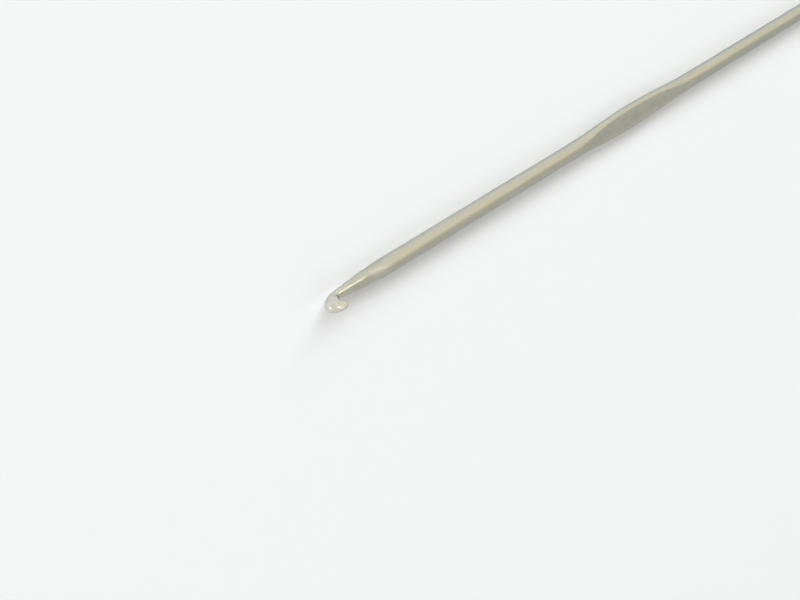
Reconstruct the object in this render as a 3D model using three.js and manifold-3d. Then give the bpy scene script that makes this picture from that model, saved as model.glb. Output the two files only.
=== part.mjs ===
// Aluminium crochet hook, forged from one length of round rod: a hooked head, a tapered throat,
// a round shank, a pressed thumb rest and a round handle with a domed butt.
// The five stretches are separate solids that meet face to face at plain cross-sections.
// Units are millimetres. The hook lies on its shank, its tip towards +X and its mouth facing +Z.

import * as THREE from 'three';
import { mergeVertices } from 'three/addons/utils/BufferGeometryUtils.js';
import Module from 'manifold-3d';

// Rod
const overallLength = 150;
const shankDiameter = 2.5; // the nominal hook size
const buttDomeLength = 1.1;

// Head: heights are measured from the rod's axis towards the mouth
const tipHeight = 1.15; // the foremost point of the nose
const lipReach = 2.9; // the outermost point of the lip
const lipCrest = 2.0; // from the tip to where the lip reaches out most
const lipOverhang = 0.6; // from there to the lip's rounded end
const lipSlope = 24; // degrees that the lip's underside leans away from the axis
const lipNoseRadius = 0.2; // rounds the lip's end on the mouth side
const headWidth = 1.8; // across the head, square to the mouth
const headWidest = 1.2; // from the tip to where the head is widest

// Throat and mouth
const neckDiameter = 1.12; // the thinnest part of the stock
const neckRise = 0.1; // how far the neck's centre sits off the axis, towards the mouth
const neckSetback = 0.8; // from the lip's end back to where the neck starts to thicken
const taperLength = 6.1; // from there to the full shank
const mouthDepth = 0.8; // how far the mouth reaches in under the lip
const seatRadius = 0.74; // the round bottom of the mouth, where the yarn sits
const throatHeight = 0.42; // the flat face's height above the axis, under the seat's centre
const throatSlope = 4; // degrees that the flat face climbs towards the shank
const runOutRadius = 9; // the flat face sweeps out of the stock on this arc
const runOutClearance = 0.2; // from where it leaves the stock to the full shank

// Thumb rest
const restStart = 45.5; // from the tip to where the press starts to bite
const restLength = 31;
const restWidest = 14.3; // from its front end to its widest point
const restWidth = 4.2;
const restThickness = 1.2;
const restSideRadius = 0.87; // of the bulged sides, which the flat faces cut off at a ridge
const frontRamp = 9.5; // length over which the faces sink in, on the head's side
const rearRamp = 11.5; // the same on the handle's side

// Share of a ramp's length that is rounded at each of its two ends
const taperEase = 0.12;
const pressEase = 0.3;
const flowingEase = 0.5; // no straight stretch is left between the two

// Fineness of the surface: corners round a cross-section, and steps along each stretch
const sides = 48;
const headSteps = { nose: 12, crown: 3, lip: 8, neck: 4 };
const throatSteps = 16;
const shankSteps = 4;
const restSteps = { front: 16, rear: 22 };
const handleSteps = { rod: 7, dome: 8 };
const cutterArcSteps = 14;

const cutterOverhang = 1; // how far the cutting tool reaches past the stock
const mergeDistance = 1e-4;

const shankRadius = shankDiameter / 2;
const neckRadius = neckDiameter / 2;
const lipEnd = lipCrest + lipOverhang;
const neck = lipEnd + neckSetback;
const taperEnd = neck + taperLength;
const restMiddle = restStart + restWidest;
const restEnd = restStart + restLength;
const { clamp, degToRad, lerp: mix } = THREE.MathUtils;

// A ramp from 0 to 1 whose two corners are rounded over a share of its length
function easedRamp(start, end, position, ease) {
  const t = clamp((position - start) / (end - start), 0, 1);
  const slope = 1 / (1 - ease);
  if (t < ease) return (slope * t * t) / (2 * ease);
  if (t > 1 - ease) return 1 - (slope * (1 - t) ** 2) / (2 * ease);
  return slope * (t - ease / 2);
}

// The height of a quarter ellipse that starts upright at 0 and levels out at its full reach
function quarterEllipse(share) {
  return Math.sqrt(1 - (1 - clamp(share, 0, 1)) ** 2);
}

// The mouth in side view: x runs back from the tip and y out from the axis
const faceSlope = degToRad(throatSlope);
const lipLean = degToRad(lipSlope);
const seat = new THREE.Vector2(
  lipEnd - mouthDepth + seatRadius,
  throatHeight + seatRadius / Math.cos(faceSlope),
);
const outOfSeat = new THREE.Vector2(-Math.sin(lipLean), Math.cos(lipLean));
const undersideStart = seat.clone().addScaledVector(outOfSeat, seatRadius);

// Centre of the round that turns the lip's underside into its end
const lipRoll = new THREE.Vector2(lipEnd - lipNoseRadius, 0);
const rollStart = lipRoll.x - lipNoseRadius * outOfSeat.x;
lipRoll.y = undersideStart.y + (rollStart - undersideStart.x) * Math.tan(lipLean)
  + lipNoseRadius * outOfSeat.y;

// Centre of the arc on which the flat face runs out: it touches the face and passes through the
// point of the shank's outline where the cut ends
const faceStart = new THREE.Vector2(seat.x, throatHeight);
const alongFace = new THREE.Vector2(Math.cos(faceSlope), Math.sin(faceSlope));
const outOfFace = new THREE.Vector2(-alongFace.y, alongFace.x);
const cutEnd = new THREE.Vector2(taperEnd - runOutClearance, shankRadius).sub(faceStart);
const cutEndHeight = cutEnd.dot(outOfFace);
const flatLength = cutEnd.dot(alongFace)
  - Math.sqrt(cutEndHeight * (2 * runOutRadius - cutEndHeight));
const runOut = faceStart.clone()
  .addScaledVector(alongFace, flatLength)
  .addScaledVector(outOfFace, runOutRadius);

// The round stock: cone, shank and handle, down to the domed butt
function stockAt(fromTip) {
  const thickened = easedRamp(neck, taperEnd, fromTip, taperEase);
  const radius = mix(neckRadius, shankRadius, thickened)
    * quarterEllipse((overallLength - fromTip) / buttDomeLength);
  const centre = neckRise * (1 - thickened);
  return { back: centre - radius, waist: centre, front: centre + radius, halfWidth: radius };
}

// Outline of the head on the mouth's side, over the crest and the lip's end, then down to the neck
function headFront(fromTip) {
  if (fromTip < lipCrest) return mix(tipHeight, lipReach, quarterEllipse(fromTip / lipCrest));
  if (fromTip < lipEnd) {
    return mix(lipRoll.y, lipReach, quarterEllipse((lipEnd - fromTip) / lipOverhang));
  }
  return mix(lipRoll.y, neckRise + neckRadius, easedRamp(lipEnd, neck, fromTip, flowingEase));
}

function headHalfWidth(fromTip) {
  if (fromTip < headWidest) return (headWidth / 2) * quarterEllipse(fromTip / headWidest);
  return mix(headWidth / 2, neckRadius, easedRamp(headWidest, lipEnd, fromTip, flowingEase));
}

// The head before its mouth is cut
function headAt(fromTip) {
  return {
    back: mix(tipHeight, neckRise - neckRadius, quarterEllipse(fromTip / lipEnd)),
    waist: mix(tipHeight, neckRise, easedRamp(0, lipEnd, fromTip, flowingEase)),
    front: headFront(fromTip),
    halfWidth: headHalfWidth(fromTip),
  };
}

// Share of the thumb rest's full depth and full spread at one cross-section
function pressed(fromTip) {
  return easedRamp(restStart, restStart + frontRamp, fromTip, pressEase)
    * (1 - easedRamp(restEnd - rearRamp, restEnd, fromTip, pressEase));
}

function spread(fromTip) {
  return easedRamp(restStart, restMiddle, fromTip, flowingEase)
    * (1 - easedRamp(restMiddle, restEnd, fromTip, flowingEase));
}

// The thumb rest: flat faces between bulged sides
function thumbRestAt(fromTip) {
  const halfThickness = mix(shankRadius, restThickness / 2, pressed(fromTip));
  const sideRadius = Math.max(halfThickness, mix(shankRadius, restSideRadius, pressed(fromTip)));
  const halfSpan = mix(shankRadius, restWidth / 2, spread(fromTip));
  return {
    back: -halfThickness,
    waist: 0,
    front: halfThickness,
    halfWidth: sideRadius,
    flatHalfWidth: Math.max(0, halfSpan - sideRadius),
    ridgeAngle: Math.acos(halfThickness / sideRadius),
  };
}

// The corners of one cross-section. It is a half ellipse above and one below the waist, the height
// where it is widest, with its two sides drawn apart by twice flatHalfWidth. Flat faces cut each
// side off at ridgeAngle from the upright. The facets touch the true outline from outside.
function ringAt(fromTip, sectionAt) {
  const section = sectionAt(fromTip);
  const { back, waist, front, halfWidth, flatHalfWidth = 0, ridgeAngle = 0 } = section;
  const outside = 1 / Math.cos(Math.PI / sides);
  const cornersPerSide = sides / 2;
  const angleAt = (corner) => mix(ridgeAngle, Math.PI - ridgeAngle, (corner + 0.5) / cornersPerSide);
  return Array.from({ length: sides }, (_, i) => {
    const left = i < cornersPerSide;
    const angle = angleAt(left ? i : sides - 1 - i);
    const across = flatHalfWidth + Math.sin(angle) * halfWidth * outside;
    const rise = Math.cos(angle) > 0 ? front - waist : waist - back;
    return new THREE.Vector3(
      overallLength / 2 - fromTip,
      left ? across : -across,
      waist + (Math.cos(angle) / Math.cos(angleAt(0))) * rise,
    );
  });
}

// Joins the cross-sections at the stations into one closed skin, from a front to a rear centre point
function loft(stations, sectionAt, frontPoint, rearPoint) {
  const rings = stations.flatMap((fromTip) => ringAt(fromTip, sectionAt));
  const points = [frontPoint, ...rings, rearPoint];
  const rear = points.length - 1;
  const triangles = [];
  for (let i = 0; i < sides; i += 1) {
    const next = (i + 1) % sides;
    triangles.push(0, 1 + next, 1 + i);
    triangles.push(rear, rear - sides + i, rear - sides + next);
    for (let here = 1; here + sides < rear; here += sides) {
      const beyond = here + sides;
      triangles.push(here + i, here + next, beyond + next);
      triangles.push(here + i, beyond + next, beyond + i);
    }
  }
  const geometry = new THREE.BufferGeometry().setFromPoints(points);
  geometry.setIndex(triangles);
  return geometry;
}

// Even steps from start to end, both included
function evenSteps(start, end, count) {
  return Array.from({ length: count + 1 }, (_, i) => mix(start, end, i / count));
}

// Steps that crowd together towards the rounded start, which is left out
function crowdedSteps(start, end, count) {
  return evenSteps(0, Math.PI / 2, count).slice(1).map((angle) => mix(start, end, 1 - Math.cos(angle)));
}

const axisPoint = (fromTip, up = 0) => new THREE.Vector3(overallLength / 2 - fromTip, 0, up);

// The tool that cuts the mouth and the throat's flat face: their side view, pushed across the head
function mouthCutter() {
  const above = lipReach + cutterOverhang;
  const exitAngle = -Math.asin((runOut.y - shankRadius - cutterOverhang) / runOutRadius);
  const profile = new THREE.Shape();
  profile.moveTo(lipEnd, above);
  profile.absarc(lipRoll.x, lipRoll.y, lipNoseRadius, 0, lipLean - Math.PI / 2, true);
  profile.absarc(seat.x, seat.y, seatRadius, lipLean + Math.PI / 2, 1.5 * Math.PI + faceSlope, false);
  profile.absarc(runOut.x, runOut.y, runOutRadius, faceSlope - Math.PI / 2, exitAngle, false);
  profile.lineTo(runOut.x + runOutRadius * Math.cos(exitAngle), above);
  profile.closePath();

  const depth = Math.max(headWidth, shankDiameter) + 2 * cutterOverhang;
  const geometry = new THREE.ExtrudeGeometry(profile, {
    depth,
    bevelEnabled: false,
    curveSegments: cutterArcSteps,
  });
  geometry.translate(0, 0, -depth / 2);
  geometry.rotateX(Math.PI / 2);
  geometry.rotateZ(Math.PI);
  geometry.translate(overallLength / 2, 0, 0);
  return geometry;
}

const wasm = await Module();
wasm.setup();

function toSolid(geometry) {
  const bare = geometry.clone();
  bare.deleteAttribute('normal');
  bare.deleteAttribute('uv');
  const merged = mergeVertices(bare, mergeDistance);
  return new wasm.Manifold(new wasm.Mesh({
    numProp: 3,
    vertProperties: merged.attributes.position.array,
    triVerts: new Uint32Array(merged.index.array),
  }));
}

function toGeometry(solid) {
  const { vertProperties, triVerts } = solid.getMesh();
  const geometry = new THREE.BufferGeometry();
  geometry.setAttribute('position', new THREE.BufferAttribute(vertProperties, 3));
  geometry.setIndex(new THREE.BufferAttribute(triVerts, 1));
  return geometry;
}

function cutMouth(blank) {
  return toGeometry(toSolid(blank).subtract(toSolid(mouthCutter())));
}

function headGeometry() {
  const stations = [
    ...crowdedSteps(0, headWidest, headSteps.nose),
    ...evenSteps(headWidest, lipCrest, headSteps.crown).slice(1),
    ...crowdedSteps(lipEnd, lipCrest, headSteps.lip).reverse().slice(1),
    ...evenSteps(lipEnd, neck, headSteps.neck),
  ];
  return cutMouth(loft(stations, headAt, axisPoint(0, tipHeight), axisPoint(neck)));
}

function throatGeometry() {
  const stations = evenSteps(neck, taperEnd, throatSteps);
  return cutMouth(loft(stations, stockAt, axisPoint(neck), axisPoint(taperEnd)));
}

function shankGeometry() {
  const stations = evenSteps(taperEnd, restStart, shankSteps);
  return loft(stations, stockAt, axisPoint(taperEnd), axisPoint(restStart));
}

function thumbRestGeometry() {
  const stations = [
    ...evenSteps(restStart, restMiddle, restSteps.front),
    ...evenSteps(restMiddle, restEnd, restSteps.rear).slice(1),
  ];
  return loft(stations, thumbRestAt, axisPoint(restStart), axisPoint(restEnd));
}

function handleGeometry() {
  const domeStart = overallLength - buttDomeLength;
  const stations = [
    ...evenSteps(restEnd, domeStart, handleSteps.rod),
    ...crowdedSteps(overallLength, domeStart, handleSteps.dome).reverse().slice(1),
  ];
  return loft(stations, stockAt, axisPoint(restEnd), axisPoint(overallLength));
}

const part = new THREE.Group();
part.name = 'aluminium_crochet_hook';
const stretches = {
  head: headGeometry,
  throat: throatGeometry,
  shank: shankGeometry,
  thumb_rest: thumbRestGeometry,
  handle: handleGeometry,
};
for (const [name, makeGeometry] of Object.entries(stretches)) {
  const geometry = makeGeometry();
  geometry.computeVertexNormals();
  const satinAluminium = new THREE.MeshStandardMaterial({
    color: new THREE.Color().setRGB(0.74, 0.71, 0.64, THREE.SRGBColorSpace),
    roughness: 0.38,
    metalness: 1,
  });
  const stretch = new THREE.Mesh(geometry, satinAluminium);
  stretch.name = name;
  stretch.position.z = shankRadius; // the shank lies on the ground
  part.add(stretch);
}

export default part;
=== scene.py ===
import math
from types import SimpleNamespace

import bmesh
import bpy
import numpy as np
from mathutils import Matrix, Vector


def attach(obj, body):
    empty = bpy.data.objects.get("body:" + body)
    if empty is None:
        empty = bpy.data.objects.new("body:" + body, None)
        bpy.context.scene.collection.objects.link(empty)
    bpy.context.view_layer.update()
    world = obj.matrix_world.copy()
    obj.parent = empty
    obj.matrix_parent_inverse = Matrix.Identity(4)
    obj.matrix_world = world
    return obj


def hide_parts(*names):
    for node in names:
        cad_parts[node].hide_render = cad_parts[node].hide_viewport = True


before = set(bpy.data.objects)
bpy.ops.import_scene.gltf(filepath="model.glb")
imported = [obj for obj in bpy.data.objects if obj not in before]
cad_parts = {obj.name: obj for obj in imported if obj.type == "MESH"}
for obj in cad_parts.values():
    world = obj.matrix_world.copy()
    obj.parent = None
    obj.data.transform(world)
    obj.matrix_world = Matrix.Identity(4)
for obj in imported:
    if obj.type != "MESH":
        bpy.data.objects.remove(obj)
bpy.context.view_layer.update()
mm = 0.001

print("frame loaded")


# Shader nodes as Python expressions

class Socket:
    def __init__(self, tree, socket):
        self.tree = tree
        self.socket = socket

    def maths(self, operation, *values):
        return self.tree.node("ShaderNodeMath", {"operation": operation}, *values)

    def __add__(self, other):
        return self.maths("ADD", self, other)

    def __radd__(self, other):
        return self.maths("ADD", other, self)

    def __sub__(self, other):
        return self.maths("SUBTRACT", self, other)

    def __rsub__(self, other):
        return self.maths("SUBTRACT", other, self)

    def __mul__(self, other):
        return self.maths("MULTIPLY", self, other)

    def __rmul__(self, other):
        return self.maths("MULTIPLY", other, self)


class Shader:
    def __init__(self, nodeTree):
        self.nodeTree = nodeTree
        self.nodeTree.nodes.clear()

    def link(self, value, target):
        if isinstance(value, Socket):
            self.nodeTree.links.new(value.socket, target)
        else:
            target.default_value = value

    # settings are set first; then values or links, in order for the first sockets and by name for others
    def node(self, kind, settings=None, *values, output=0, **named):
        made = self.nodeTree.nodes.new(kind)
        for key, setting in (settings or {}).items():
            setattr(made, key, setting)
        for target, value in zip(made.inputs, values):
            self.link(value, target)
        for name, value in named.items():
            self.link(value, made.inputs[name.replace("_", " ")])
        return Socket(self, made.outputs[output]) if made.outputs else None

    def mixColour(self, share, first, second):
        made = self.nodeTree.nodes.new("ShaderNodeMix")
        made.data_type = "RGBA"
        for index, value in {0: share, 6: first, 7: second}.items():    # its factor and colour sockets
            self.link(value, made.inputs[index])
        return Socket(self, made.outputs[2])

    # 0 below the low edge and 1 above the high edge, with a soft turn between them
    def smoothStep(self, value, low, high):
        return self.node("ShaderNodeMapRange", {"interpolation_type": "SMOOTHSTEP"}, value, low, high)


def newMaterial(name):
    material = bpy.data.materials.new(name)
    material.use_nodes = True
    return material


def addObject(name, data):
    made = bpy.data.objects.new(name, data)
    bpy.context.scene.collection.objects.link(made)
    return made


# The hook's shape, in millimetres from the tip and from the rod's axis

hook = {
    "length": 150.0,
    "shankRadius": 1.25,
    "buttDome": 1.1,
    "tipHeight": 1.15,      # height of the foremost point over the axis
    "lipReach": 2.74,       # height of the lip's top over the axis
    "lipCrest": 2.0,
    "lipEnd": 2.66,
    "lipSlope": 17.0,       # degrees, of the lip's underside
    "lipNose": 0.2,         # radius at the lip's end
    "headWidth": 1.8,
    "headWidest": 1.2,
    "neckRadius": 0.635,
    "neckRise": -0.12,      # height of the neck's middle over the axis
    "neck": 2.7,
    "backCurve": 3.4,       # length of the ellipse that the head's back follows
    "cheekStart": 1.8,      # from here the head's sides close in on the neck's width
    "cheekTop": 1.5,        # above this height they keep the head's width
    "taperEnd": 8.6,
    "taperShare": 0.94,     # share of the taper in which the neck grows to the shank's radius
    "shoulderBlend": 0.5,   # softens the taper's end, as a share of that growth
    "mouthX": 2.95,         # a point in the mouth, from which its sides are measured
    "mouthZ": 1.16,
    "underLip": 0.8,        # from that point to the lip's underside
    "seatFoot": 2.5,        # where the seat meets the flat face, before rounding
    "seatLean": 24.5,       # degrees, the seat's slope from square to the rod
    "seatBlend": 0.8,       # softens the turn from the seat to the lip
    "footBlend": 0.4,       # softens the turn from the seat to the flat face
    "throatHeight": 0.37,   # height of the flat face over the axis, at mouthX
    "throatSlope": 5.4,     # degrees
    "runOutRadius": 10.0,
    "runOutEnd": 9.6,
    "cutBlend": 0.02,       # softens the flat face's edge at the neck
    "runOutBlend": 0.5,     # and where it runs out into the shank
    "restStart": 45.5,
    "restMiddle": 59.8,
    "restEnd": 76.5,
    "restWidth": 4.2,
    "restThickness": 1.2,
    "restSideRadius": 0.87,
    "frontRamp": 9.5,
    "rearRamp": 11.5,
    "rampEase": 0.3,        # share of a ramp that eases in, and that eases out
    "edgeRound": 0.07,      # radii of the rounded edges
    "throatRound": 0.12,
    "seatRound": 0.36,      # the seat is rounded over so that the yarn glides
    "bluntRound": 0.7,      # the flat face's edges turn blunt where it runs out
    "roundOfWidth": 0.9,    # the most that a rounded edge takes of the half-width there
    "roundOfDepth": 0.45,   # and of the section's depth
    "bluntFrom": 6.2,
    "bluntTo": 8.4,
    "bluntFade": 11.5,
    "seatMiddle": 2.3,      # painted light: the seat in the mouth's shaded corner is painted lighter and olive; the middle of that, and how far it spreads
    "seatShade": 1.3,
    "polishFrom": 5.5,      # painted light: the head is painted lighter, in full up to polishTo and fading out by here
    "polishTo": 2.5,
}
size = SimpleNamespace(**hook)
tiny = 1e-5        # keeps divisors, radii and widths above nothing
tooClose = 1e-7    # for two points of one section


def clamp(share):
    return min(max(share, 0), 1)


def lerp(a, b, share):
    return a + (b - a) * share


# from 0 to 1, straight but for a share at either end that eases
def easedRamp(start, end, x, ease=0.5):
    t = clamp((x - start) / (end - start))
    slope = 1 / (1 - ease)
    if t < ease:
        return slope * t * t / (2 * ease)
    if t > 1 - ease:
        return 1 - slope * (1 - t) ** 2 / (2 * ease)
    return slope * (t - ease / 2)


def quarterEllipse(share):
    return math.sqrt(1 - (1 - clamp(share)) ** 2)


# the lower of two heights, blended over a range where they meet
def softMin(a, b, blend):
    return min(a, b) - max(blend - abs(a - b), 0) ** 2 / (4 * blend)


# the mouth's profile in side view
faceSlope = math.radians(size.throatSlope)
lipLean = math.radians(size.lipSlope)
seatLean = math.radians(size.seatLean)
seatX, seatZ = size.mouthX, size.mouthZ
rollX = size.lipEnd - size.lipNose
rollZ = seatZ + (rollX - seatX) * math.tan(lipLean) + (size.underLip + size.lipNose) / math.cos(lipLean)


# back, waist, front, half-width and extra flat half-width of the section at x
def stockAt(x):
    along = max((x - size.neck) / (size.taperEnd - size.neck), 0)
    thick = softMin(along / size.taperShare, 1, size.shoulderBlend)
    dome = quarterEllipse((size.length - x) / size.buttDome)
    radius = lerp(size.neckRadius, size.shankRadius, thick) * dome
    centre = size.neckRise * (1 - thick)
    return centre - radius, centre, centre + radius, radius, 0


# the arc on which the flat face runs out of the stock
endX = size.runOutEnd - seatX
endZ = stockAt(size.runOutEnd)[2] - size.throatHeight
endAlong = endX * math.cos(faceSlope) + endZ * math.sin(faceSlope)
endOut = -endX * math.sin(faceSlope) + endZ * math.cos(faceSlope)
flatLength = endAlong - math.sqrt(endOut * (2 * size.runOutRadius - endOut))
runX = seatX + flatLength * math.cos(faceSlope) - size.runOutRadius * math.sin(faceSlope)
runZ = size.throatHeight + flatLength * math.sin(faceSlope) + size.runOutRadius * math.cos(faceSlope)


def cutHeight(x):
    if x < seatX + flatLength * math.cos(faceSlope):
        return size.throatHeight + (x - seatX) * math.tan(faceSlope)
    return runZ - math.sqrt(max(0, size.runOutRadius ** 2 - (x - runX) ** 2))


# height of the stock where the flat face has cut its top off
def frontHeight(x, front):
    blend = lerp(size.cutBlend, size.runOutBlend, easedRamp(size.neck, size.runOutEnd, x))
    return softMin(front, cutHeight(x), blend)


def headAt(x):
    if x < size.lipCrest:
        front = lerp(size.tipHeight, size.lipReach, quarterEllipse(x / size.lipCrest))
    elif x < size.lipEnd:
        beforeEnd = (size.lipEnd - x) / (size.lipEnd - size.lipCrest)
        front = lerp(rollZ, size.lipReach, quarterEllipse(beforeEnd))
    else:
        front = lerp(rollZ, size.neckRise + size.neckRadius, easedRamp(size.lipEnd, size.neck, x))
    backShare = quarterEllipse(x / size.backCurve) / quarterEllipse(size.neck / size.backCurve)
    back = lerp(size.tipHeight, size.neckRise - size.neckRadius, backShare)
    waist = lerp(size.tipHeight, size.neckRise, easedRamp(0, size.lipEnd, x))
    if x < size.headWidest:
        half = size.headWidth / 2 * quarterEllipse(x / size.headWidest)
    else:
        narrowing = easedRamp(size.headWidest, size.lipEnd, x)
        half = lerp(size.headWidth / 2, size.neckRadius, narrowing)
    return back, waist, front, half, 0


def restAt(x):
    pressed = (easedRamp(size.restStart, size.restStart + size.frontRamp, x, size.rampEase)
               * (1 - easedRamp(size.restEnd - size.rearRamp, size.restEnd, x, size.rampEase)))
    spread = (easedRamp(size.restStart, size.restMiddle, x)
              * (1 - easedRamp(size.restMiddle, size.restEnd, x)))
    thick = lerp(size.shankRadius, size.restThickness / 2, pressed)
    side = lerp(size.shankRadius, size.restSideRadius, pressed)
    span = lerp(size.shankRadius, size.restWidth / 2, spread)
    return -thick, 0, thick, side, max(0, span - side)


def sectionAt(x):
    if x < size.neck:
        return headAt(x)
    if size.restStart < x < size.restEnd:
        return restAt(x)
    return stockAt(x)


def halfWidthAt(x, z):
    back, waist, front, half, flat = sectionAt(x)
    reach = front - waist if z > waist else waist - back
    if size.restStart < x < size.restEnd:
        reach = half    # the faces cut the round sides off below their full height
    if reach <= 0:
        return flat
    width = flat + half * math.sqrt(max(0, 1 - ((z - waist) / reach) ** 2))
    if size.cheekStart < x < size.neck and z > waist:    # the cheeks close in on the neck
        rise = (min(z, size.throatHeight) - waist) / size.neckRadius
        neckWidth = half * math.sqrt(max(0, 1 - rise ** 2))
        share = (easedRamp(size.cheekStart, size.neck, x)
                 * (1 - easedRamp(size.throatHeight, size.cheekTop, z)))
        width = lerp(width, min(width, neckWidth), share)
    return width


def inside(x, z):
    if x <= 0:
        return False
    back, _, front, _, _ = sectionAt(x)
    return back <= z <= front


# how finely the skin is worked out
grid = {
    "leastCosine": 0.01,    # keeps rays that run along a side of the mouth finite
    "farOff": 5.0,          # mm, outside the head on every ray from the mouth
    "raySteps": 400,
    "halvings": 30,
    "samples": 161,         # along half a section, before they are spread out anew
    "flatSteps": 8,         # added across its inner side and across its outer side
    "turnShare": 0.55,      # share of the steps that gathers where the outline turns
    "aroundHalf": 40,       # steps round half a section
    "headSections": 110,
    "headCrowding": 1.6,    # above 1, the head's sections lie closer towards the lip's end
    "throatSections": 110,
    "pastTaper": 3.0,       # mm of the shank that share the throat's spacing
    "shankSections": 24,
    "restSections": 130,
    "handleSections": 30,
    "buttSections": 16,
}


# where a ray from the point in the mouth leaves the mouth, and where it leaves the head
def acrossHead(angle):
    dx, dz = math.cos(angle), math.sin(angle)
    least = grid["leastCosine"]
    toLip = size.underLip / max(dz * math.cos(lipLean) - dx * math.sin(lipLean), least)
    aboveFlat = seatZ - size.throatHeight
    seatGap = (seatX - size.seatFoot) * math.cos(seatLean) + aboveFlat * math.sin(seatLean)
    toSeat = seatGap / max(-dx * math.cos(seatLean) - dz * math.sin(seatLean), least)
    toFlat = aboveFlat / max(-dz, least)
    inner = softMin(softMin(toLip, toSeat, size.seatBlend), toFlat, size.footBlend)
    if angle < math.pi and seatX + inner * dx > rollX + size.lipNose * math.sin(lipLean):
        toRollX, toRollZ = rollX - seatX, rollZ - seatZ
        along = toRollX * dx + toRollZ * dz
        off = toRollX * dz - toRollZ * dx
        inner = along - math.sqrt(max(0, size.lipNose ** 2 - off ** 2))

    def onRay(distance):
        return seatX + distance * dx, seatZ + distance * dz

    step = (grid["farOff"] - inner) / grid["raySteps"]
    low = inner
    while inside(*onRay(low + step)):
        low += step
    high = low + step
    for _ in range(grid["halvings"]):
        middle = (low + high) / 2
        if inside(*onRay(middle)):
            low = middle
        else:
            high = middle
    return onRay(inner), onRay(low)


# takes a sharp corner off the row of half-widths that starts at it
def roundCorner(widths, depths, radius):
    bite = np.clip(radius - depths, 0, radius)
    return np.maximum(widths - (radius - np.sqrt(radius ** 2 - bite ** 2)), 0)


# how blunt the flat face's edges are, from 0 beside the mouth to 1 where it runs out;
# the thumb rest's aren't
def bluntAt(x):
    return easedRamp(size.bluntFrom, size.bluntTo, x) if x < size.restStart else 0


# radius of the rounded edge beside the mouth and the throat's flat face
def innerRoundAt(x, z):
    if x > size.restStart:
        return size.edgeRound
    if x > seatX:
        return lerp(size.throatRound, size.bluntRound, bluntAt(x))
    lipZ = seatZ + (x - seatX) * math.tan(lipLean) + size.underLip / math.cos(lipLean)
    up = clamp((z - size.throatHeight) / (lipZ - size.throatHeight))
    return lerp(size.throatRound, size.seatRound, 4 * up * (1 - up))


# the marks for flat faces, and for the edges beside them: real wear, and a painted highlight along them
marking = {
    "edgeBreadth": (0.12, 0.3),    # mm, least and most breadth of a mark's soft edge
    "clearWidth": 0.25,            # mm, the marks grow faint on a narrower face
    "sharpGain": 1.6,              # above 1, an edge needn't be square to be marked in full
    "wearAndSheenCore": 1.2,               # above 1, the wear and painted highlight are full right at the corner
    "wearAndSheenReach": 1.8,              # how far the wear and painted highlight reach, times the soft edge's breadth
    "wearAndSheenFade": 3,                 # power with which the wear and painted highlight fade across a face
}


# both marks from a row of half-widths that starts at the face, fading out where its edge is blunt
def faceMarks(depths, widths, edge):
    cornerWidth = widths[0]
    growth = np.interp(edge, depths, widths) - cornerWidth
    sharp = clamp(2 * math.atan2(edge, max(growth, 0)) / math.pi)
    clear = min(cornerWidth / marking["clearWidth"], 1) * min(marking["sharpGain"] * sharp, 1)
    flat = np.clip(0.5 + (cornerWidth - widths - 2 * depths) / (2 * edge), 0, 1) * clear
    fromCorner = np.hypot(depths, widths - cornerWidth) / (marking["wearAndSheenReach"] * edge)
    wearAndSheen = np.clip(marking["wearAndSheenCore"] - fromCorner, 0, 1) * clear * sharp
    return flat, wearAndSheen


# an edge's radius, held to what the section has room for
def fittingRound(radius, width, length):
    return max(min(radius, size.roundOfWidth * width, size.roundOfDepth * length), tiny)


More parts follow.
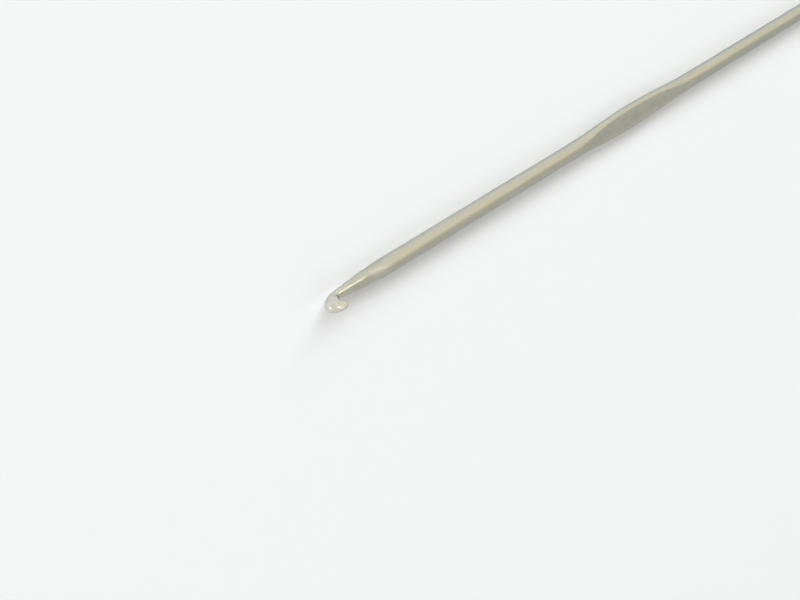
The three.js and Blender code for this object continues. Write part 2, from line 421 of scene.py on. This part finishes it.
# half of one closed cross-section with its marks, from the middle of its inner side, which faces
# the mouth or the front, to the middle of its outer side
def halfLoop(inner, outer):
    def between(share):
        return lerp(inner[0], outer[0], share), lerp(inner[1], outer[1], share)

    length = math.hypot(outer[0] - inner[0], outer[1] - inner[1])
    shares = (1 - np.cos(np.linspace(0, math.pi, grid["samples"]))) / 2
    widths = np.array([halfWidthAt(*between(share)) for share in shares])
    depths = shares * length
    innerRound = fittingRound(innerRoundAt(*inner), widths[0], length)
    outerRound = fittingRound(size.edgeRound, widths[-1], length)
    leastEdge, mostEdge = marking["edgeBreadth"]
    flatIn, wearAndSheenIn = faceMarks(depths, widths, min(max(innerRound, leastEdge), mostEdge))
    # the painted highlight fades where the flat face's edges turn blunt
    wearAndSheenIn = wearAndSheenIn * (1 - bluntAt(inner[0]))
    flatOut, wearAndSheenOut = faceMarks(depths, widths[::-1], max(outerRound, leastEdge))
    flats = np.maximum(flatIn, flatOut[::-1])
    wearAndSheens = np.maximum(wearAndSheenIn, wearAndSheenOut[::-1])
    widths = roundCorner(widths, depths, innerRound)
    widths = roundCorner(widths, length - depths, outerRound)

    # points across the inner and the outer side
    extra = grid["flatSteps"]
    innerSide = np.linspace(0, widths[0], extra + 1)[:-1]
    outerSide = np.linspace(widths[-1], 0, extra + 1)[1:]
    depths = np.concatenate([np.zeros(extra), depths, np.full(extra, length)])
    widths = np.concatenate([innerSide, widths, outerSide])
    flats = np.pad(flats, extra, mode="edge")
    wearAndSheens = np.pad(wearAndSheens, extra, mode="edge")
    wearAndSheens[:extra] *= np.linspace(0, 1, extra) ** marking["wearAndSheenFade"]
    wearAndSheens[-extra:] *= np.linspace(1, 0, extra) ** marking["wearAndSheenFade"]
    keep = np.concatenate([[True], np.hypot(np.diff(depths), np.diff(widths)) > tooClose])
    rows = [row[keep] for row in (depths, widths, flats, wearAndSheens)]

    # more points where the outline turns
    stepDepths, stepWidths = np.diff(rows[0]), np.diff(rows[1])
    segment = np.hypot(stepDepths, stepWidths)
    turn = np.abs(np.diff(np.unwrap(np.arctan2(stepWidths, stepDepths))))
    turning = np.zeros(len(segment))
    turning[:-1] += turn / 2
    turning[1:] += turn / 2
    weight = ((1 - grid["turnShare"]) * segment / segment.sum()
              + grid["turnShare"] * turning / max(turning.sum(), tiny))
    along = np.concatenate([[0], np.cumsum(weight)])
    picks = np.linspace(0, along[-1], grid["aroundHalf"] + 1)
    depths, widths, flats, wearAndSheens = (np.interp(picks, along, row) for row in rows)
    x, z = between(depths / max(length, tiny))
    return x, widths, z, flats, wearAndSheens


# the skin's sections from the lip's end to the butt: closed loops of points, and the points' marks
def hookLoops():
    count = grid["aroundHalf"]
    loops, marks = [], []

    def addLoop(inner, outer):
        x, y, z, flat, wearAndSheen = halfLoop(inner, outer)
        both = list(range(count + 1)) + list(range(count - 1, 0, -1))
        loops.append([(x[i], y[i] if k <= count else -y[i], z[i]) for k, i in enumerate(both)])
        marks.append([(flat[i], wearAndSheen[i]) for i in both])

    # the head's sections fan out from the mouth, from the lip's end down to the neck
    startAngle = math.atan2(rollZ - seatZ, size.lipEnd - seatX)
    straightDown = 1.5 * math.pi
    for i in range(1, grid["headSections"] + 1):
        share = (i / grid["headSections"]) ** grid["headCrowding"]
        addLoop(*acrossHead(startAngle + (straightDown - startAngle) * share))

    # the others stand square to the rod
    def addStock(start, end, steps, crowd=False):
        for i in range(1, steps + 1):
            share = math.sin(i / steps * math.pi / 2) if crowd else i / steps
            x = lerp(start, end, share)
            back, _, front, half, _ = sectionAt(x)
            if x < size.restStart:
                front = frontHeight(x, front)
            if half > tiny:
                addLoop((x, front), (x, back))

    evenEnd = size.taperEnd + grid["pastTaper"]
    domeStart = size.length - size.buttDome
    addStock(seatX, evenEnd, grid["throatSections"])
    addStock(evenEnd, size.restStart, grid["shankSections"])
    addStock(size.restStart, size.restEnd, grid["restSections"])
    addStock(size.restEnd, domeStart, grid["handleSections"])
    addStock(domeStart, size.length, grid["buttSections"], crowd=True)
    return loops, marks


# a fan of triangles at either end, and four-sided faces between each loop and the one after it
def skinFaces(loopCount):
    ring = 2 * grid["aroundHalf"]
    last = 1 + loopCount * ring
    faces = []
    for i in range(ring):
        after = (i + 1) % ring
        faces.append((0, 1 + after, 1 + i))
        faces.append((last, last - ring + i, last - ring + after))
    for k in range(loopCount - 1):
        a, b = 1 + k * ring, 1 + (k + 1) * ring
        for i in range(ring):
            after = (i + 1) % ring
            faces.append((a + i, a + after, b + after, b + i))
    return faces


# what the material reads, point by point
def addMarks(mesh, fromTip, flat, wearAndSheen):
    # the throat's flat face: its milled roughness and tool marks, and a painted shade on its colour
    cut = flat * (fromTip < size.restStart)
    nearSeatLight = np.clip(1 - np.abs(fromTip - size.seatMiddle) / size.seatShade, 0, 1)
    bluntFaded = [bluntAt(x) * (1 - easedRamp(size.bluntTo, size.bluntFade, x)) for x in fromTip]
    values = {
        "cut": cut,
        # painted light: lifts the shaded seat in the mouth's corner
        "seat": cut * nearSeatLight,
        "pressed": flat * (fromTip > size.restStart),
        # edge wear, with a painted highlight along the edges
        "wearAndSheen": wearAndSheen,
        "blunt": np.array(bluntFaded),
        # painted light: the head is painted lighter towards the tip
        "paintedHeadLight": np.array([1 - easedRamp(size.polishTo, size.polishFrom, x) for x in fromTip]),
    }
    for mark, row in values.items():
        attribute = mesh.attributes.new(mark, "FLOAT", "POINT")
        attribute.data.foreach_set("value", row.astype(np.float32))


def hookMesh(name):
    loops, marks = hookLoops()
    points = [(size.lipEnd, 0, rollZ)] + [p for loop in loops for p in loop] + [(size.length, 0, 0)]
    marked = np.array([(0, 0)] + [m for loop in marks for m in loop] + [(0, 0)], dtype=np.float32)
    middle = size.length / 2
    vertices = [((middle - x) * mm, y * mm, max(z + size.shankRadius, 0) * mm) for x, y, z in points]
    mesh = bpy.data.meshes.new(name)
    mesh.from_pydata(vertices, [], skinFaces(len(loops)))
    mesh.update()
    bm = bmesh.new()
    bm.from_mesh(mesh)
    bmesh.ops.recalc_face_normals(bm, faces=bm.faces)
    bm.to_mesh(mesh)
    bm.free()
    mesh.shade_smooth()
    addMarks(mesh, np.array([p[0] for p in points]), marked[:, 0], marked[:, 1])
    return mesh


hookObject = addObject("hook_skin", hookMesh("hook_skin"))
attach(hookObject, "root")
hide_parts("head", "throat", "shank", "thumb_rest", "handle")
print("hook skin:", len(hookObject.data.vertices), "vertices")


# Satin aluminium

satin = {
    "colour": (0.64, 0.627, 0.56, 1),
    "streakColour": (0.555, 0.54, 0.46, 1),
    "pressedColour": (0.65, 0.63, 0.57, 1),
    "mottleColour": (0.525, 0.505, 0.435, 1),
    # painted light: the head is painted lighter towards the tip
    "paintedHeadLightColour": (0.71, 0.69, 0.62, 1),
    # painted shade: the throat's flat face is painted darker and olive, for the darker surroundings it
    # reflects
    "flatFaceShadeColour": (0.58, 0.57, 0.49, 1),
    # painted light: the shaded seat is painted lighter and olive
    "seatPaintedLightColour": (0.66, 0.65, 0.36, 1),
    # edge wear painted lighter: partly real wear, partly a painted highlight along the ridge
    "wearAndSheenColour": (0.74, 0.72, 0.64, 1),
    "edgeTint": (0.52, 0.63, 0.76, 1),
    "streakShare": 0.5,
    "pressedShare": 0.85,
    "wearAndSheenShare": 0.8,
    "roughness": 0.3,
    "pressedRoughness": 0.36,
    "cutRoughness": 0.34,
    "wornRoughness": 0.28,
    "bluntRoughness": 0.46,
    "streakSwing": 0.16,       # how far each pattern moves the roughness
    "mottleSwing": 0.2,
    "scratchSwing": 0.06,
    "reliefHeight": 1.2e-6,    # metres, for a relief of 1
    "lineRelief": 0.5,
    "grainRelief": 0.25,
    "scratchRelief": -0.5,
    "mottleRelief": 2.5,
    "streakLevels": (0.42, 0.68),
    "mottleLevels": (0.45, 0.62),
    "scratchLevels": (0.66, 0.74),
}

# each noise: scale per millimetre along the rod and across it, detail and offset
satinNoises = {
    "streaks": (0.1, 7.0, 3.0, 0.0),
    "drawnLines": (0.5, 30.0, 2.0, 5.0),
    "mottle": (1.3, 1.3, 4.0, 11.0),
    "grain": (22.0, 22.0, 2.0, 17.0),
    "toolMarks": (14.0, 1.1, 2.0, 23.0),
    "scratches": (2.2, 34.0, 1.0, 31.0),
}
noiseRoughness = 0.55
satinMaterial = newMaterial("satin_aluminium")
metal = Shader(satinMaterial.node_tree)
onSkin = metal.node("ShaderNodeTexCoord", None, output="Object")


def markOf(name):
    return metal.node("ShaderNodeAttribute", {"attribute_name": name}, output="Fac")


def satinNoise(name):
    along, across, detail, offset = satinNoises[name]
    scale = (along / mm, across / mm, across / mm)
    scaled = metal.node("ShaderNodeVectorMath", {"operation": "MULTIPLY"}, onSkin, scale)
    moved = metal.node("ShaderNodeVectorMath", {"operation": "ADD"}, scaled, (offset, offset, offset))
    return metal.node("ShaderNodeTexNoise", None, moved, Scale=1.0, Detail=detail,
                      Roughness=noiseRoughness)


seatPaintedLightMark = markOf("seat")
cutMark = markOf("cut")
pressedMark = markOf("pressed")
wearAndSheenMark = markOf("wearAndSheen")
bluntMark = markOf("blunt")
paintedHeadLightMark = markOf("paintedHeadLight")

streaks = satinNoise("streaks")
drawnLines = satinNoise("drawnLines")
mottle = satinNoise("mottle")
grain = satinNoise("grain")
toolMarks = satinNoise("toolMarks")
scratches = metal.smoothStep(satinNoise("scratches"), *satin["scratchLevels"])

# from the ground colour up, each layer over the ones before it
streakMask = metal.smoothStep(streaks, *satin["streakLevels"]) * satin["streakShare"]
mottleMask = metal.smoothStep(mottle, *satin["mottleLevels"])
mottled = metal.mixColour(mottleMask, satin["pressedColour"], satin["mottleColour"])
colour = satin["colour"]
for mask, layer in (
    (streakMask, satin["streakColour"]),
    (pressedMark * satin["pressedShare"], mottled),
    # painted light: the head is painted lighter towards the tip
    (paintedHeadLightMark, satin["paintedHeadLightColour"]),
    # painted shade: the throat's flat face is painted darker and olive, for the darker surroundings it
    # reflects
    (cutMark, satin["flatFaceShadeColour"]),
    # painted light: the seat in the mouth's shaded corner is painted lighter and olive
    (seatPaintedLightMark, satin["seatPaintedLightColour"]),
    # edge wear painted lighter: partly real wear, partly a painted highlight along the ridge
    (wearAndSheenMark * satin["wearAndSheenShare"], satin["wearAndSheenColour"]),
):
    colour = metal.mixColour(mask, colour, layer)

rougher = satin["pressedRoughness"] - satin["roughness"] + (mottle - 0.5) * satin["mottleSwing"]
roughness = satin["roughness"] + (streaks - 0.5) * satin["streakSwing"]
roughness = roughness + scratches * satin["scratchSwing"]
roughness = roughness + pressedMark * rougher
for mask, rough in (
    (cutMark, satin["cutRoughness"]),
    (wearAndSheenMark, satin["wornRoughness"]),
    (bluntMark, satin["bluntRoughness"]),
):
    roughness = roughness + mask * (rough - satin["roughness"])

relief = drawnLines * (1 - pressedMark) * satin["lineRelief"] + grain * satin["grainRelief"]
relief = relief + scratches * satin["scratchRelief"]
relief = relief + pressedMark * mottle * satin["mottleRelief"] + cutMark * toolMarks
bump = metal.node("ShaderNodeBump", None, Strength=1.0, Distance=satin["reliefHeight"], Height=relief)

surface = metal.node("ShaderNodeBsdfPrincipled", None, Base_Color=colour, Metallic=1.0,
                     Roughness=roughness, Specular_Tint=satin["edgeTint"], Normal=bump)
metal.node("ShaderNodeOutputMaterial", None, surface)
hookObject.data.materials.append(satinMaterial)
print("satin aluminium ready")


# Floor

floorLook = {
    "halfSide": 4.0,    # metres
    "colour": (0.92, 0.92, 0.92, 1),
    "roughness": 0.9,
}
side = floorLook["halfSide"]
floorCorners = [(-side, -side, 0), (side, -side, 0), (side, side, 0), (-side, side, 0)]
floorMesh = bpy.data.meshes.new("floor")
floorMesh.from_pydata(floorCorners, [], [(0, 1, 2, 3)])
floorObject = addObject("floor", floorMesh)
floorMaterial = newMaterial("floor_paper")
paper = Shader(floorMaterial.node_tree)
paperSurface = paper.node("ShaderNodeBsdfPrincipled", None, Base_Color=floorLook["colour"],
                          Roughness=floorLook["roughness"])
paper.node("ShaderNodeOutputMaterial", None, paperSurface)
floorMesh.materials.append(floorMaterial)


# Lights

# sky colours round the rod, from the near horizon over the zenith to the far one
studio = {
    "nearSide": (0.92, 0.875, 0.72, 1),
    "nearTurn": (50, 72),            # degrees round the rod
    "overhead": (0.57, 0.555, 0.47, 1),
    "farTurn": (100, 140),
    "farSide": (0.62, 0.61, 0.57, 1),
    "tipReflection": (0.84, 0.83, 0.8, 1),
    "tipTurn": (-0.25, 0.1),         # along the rod, as a share of the distance
    "endsOnFloor": (0.2, 0.2, 0.2, 1),
    "endsTurn": (0.05, 0.45),
    "seenBehind": (1.0, 1.0, 1.0, 1),
}
world = bpy.data.worlds.new("studio")
bpy.context.scene.world = world
world.use_nodes = True
sky = Shader(world.node_tree)
skyPlace = sky.node("ShaderNodeTexCoord", None, output="Generated")
skyX, skyY, skyZ = (sky.node("ShaderNodeSeparateXYZ", None, skyPlace, output=axis) for axis in "XYZ")
roundRod = sky.node("ShaderNodeMath", {"operation": "ARCTAN2"}, skyZ, skyY * -1) * (180 / math.pi)
nearToTop = sky.smoothStep(roundRod, *studio["nearTurn"])
topToFar = sky.smoothStep(roundRod, *studio["farTurn"])
roundSky = sky.mixColour(nearToTop, studio["nearSide"], studio["overhead"])
roundSky = sky.mixColour(topToFar, roundSky, studio["farSide"])
towardsTip = sky.smoothStep(skyX, *studio["tipTurn"])
inReflections = sky.mixColour(towardsTip, roundSky, studio["tipReflection"])
alongRod = sky.node("ShaderNodeMath", {"operation": "ABSOLUTE"}, skyX)
towardsEnds = sky.smoothStep(alongRod, *studio["endsTurn"])
onFloor = sky.mixColour(towardsEnds, roundSky, studio["endsOnFloor"])
isGlossy = sky.node("ShaderNodeLightPath", None, output="Is Glossy Ray")
isCamera = sky.node("ShaderNodeLightPath", None, output="Is Camera Ray")
skyColour = sky.mixColour(isGlossy, onFloor, inReflections)
skyColour = sky.mixColour(isCamera, skyColour, studio["seenBehind"])
background = sky.node("ShaderNodeBackground", None, skyColour, 1.0)
sky.node("ShaderNodeOutputWorld", None, background)

# azimuth from +X, elevation and the angle across are in degrees; brightness 1 is white;
# a strip's length is a share of its distance
lamps = {
    "windowStrip": {
        "azimuth": -75,
        "elevation": 24,
        "across": 18,
        "length": 2.4,
        "brightness": 9.2,
        "colour": (0.96, 1, 1.055),
        "inReflections": False,
    },
    "farStrip": {
        "azimuth": 125,
        "elevation": 35,
        "across": 50,
        "length": 2.4,
        "brightness": 0.75,
        "colour": (1, 1, 1),
        "inReflections": False,
    },
    "ridgeLamp": {
        "azimuth": -122,
        "elevation": 69,
        "across": 14,
        "brightness": 3.0,
        "colour": (1, 0.97, 0.88),
        "onFloor": False,
    },
    "lipLamp": {
        "azimuth": -96,
        "elevation": 40,
        "across": 12,
        "brightness": 5.6,
        "colour": (1, 0.96, 0.88),
        "onFloor": False,
    },
    "tipLamp": {
        "azimuth": -20,
        "elevation": 3.5,
        "across": 6,
        "brightness": 26,
        "colour": (1, 1, 1),
        "onFloor": False,
    },
}
lampDistance = 8.0


# for a lamp or the camera: the direction from the origin, or from the aim, at which it stands
def directionAt(view):
    azimuth = math.radians(view["azimuth"])
    elevation = math.radians(view["elevation"])
    level = math.cos(elevation)
    return Vector((level * math.cos(azimuth), level * math.sin(azimuth), math.sin(elevation)))


for name, lamp in lamps.items():
    light = bpy.data.lights.new(name, "AREA")
    light.size = 2 * lampDistance * math.tan(math.radians(lamp["across"] / 2))
    light.shape = "DISK"
    lampArea = math.pi * light.size ** 2 / 4
    if "length" in lamp:
        light.shape = "RECTANGLE"
        light.size_y = light.size
        light.size = lamp["length"] * lampDistance
        lampArea = light.size * light.size_y
    light.color = lamp["colour"]
    light.energy = lamp["brightness"] * math.pi * lampArea
    lampDirection = directionAt(lamp)
    lightObject = addObject(name, light)
    lightObject.location = lampDirection * lampDistance
    lightObject.rotation_euler = lampDirection.to_track_quat("Z", "Y").to_euler()
    lightObject.visible_glossy = lamp.get("inReflections", True)
    lightObject.visible_diffuse = lamp.get("onFloor", True)
print("floor and lights ready")


# Camera

cameraView = {
    "aim": (62.35, 7.528, 1.156),    # mm, as is the distance
    "distance": 139.3,
    "azimuth": -57.32,               # degrees, as are the next two
    "elevation": 36.43,
    "roll": 126.65,
    "focalPixels": 1000.0,
    "imageWidth": 800,
    "sensorWidth": 36,
    "nearest": 0.005,                # metres, as is the next one
    "farthest": 50,
}
camera = bpy.data.cameras.new("camera")
camera.sensor_width = cameraView["sensorWidth"]
camera.lens = camera.sensor_width * cameraView["focalPixels"] / cameraView["imageWidth"]
camera.clip_start = cameraView["nearest"]
camera.clip_end = cameraView["farthest"]
cameraDirection = directionAt(cameraView)
cameraPlace = (Vector(cameraView["aim"]) + cameraDirection * cameraView["distance"]) * mm
roll = Matrix.Rotation(math.radians(cameraView["roll"]), 3, "Z")
turned = cameraDirection.to_track_quat("Z", "Y").to_matrix() @ roll
cameraObject = addObject("camera", camera)
cameraObject.matrix_world = Matrix.Translation(cameraPlace) @ turned.to_4x4()
bpy.context.scene.camera = cameraObject
bpy.context.scene.view_settings.view_transform = "Standard"
print("camera ready")
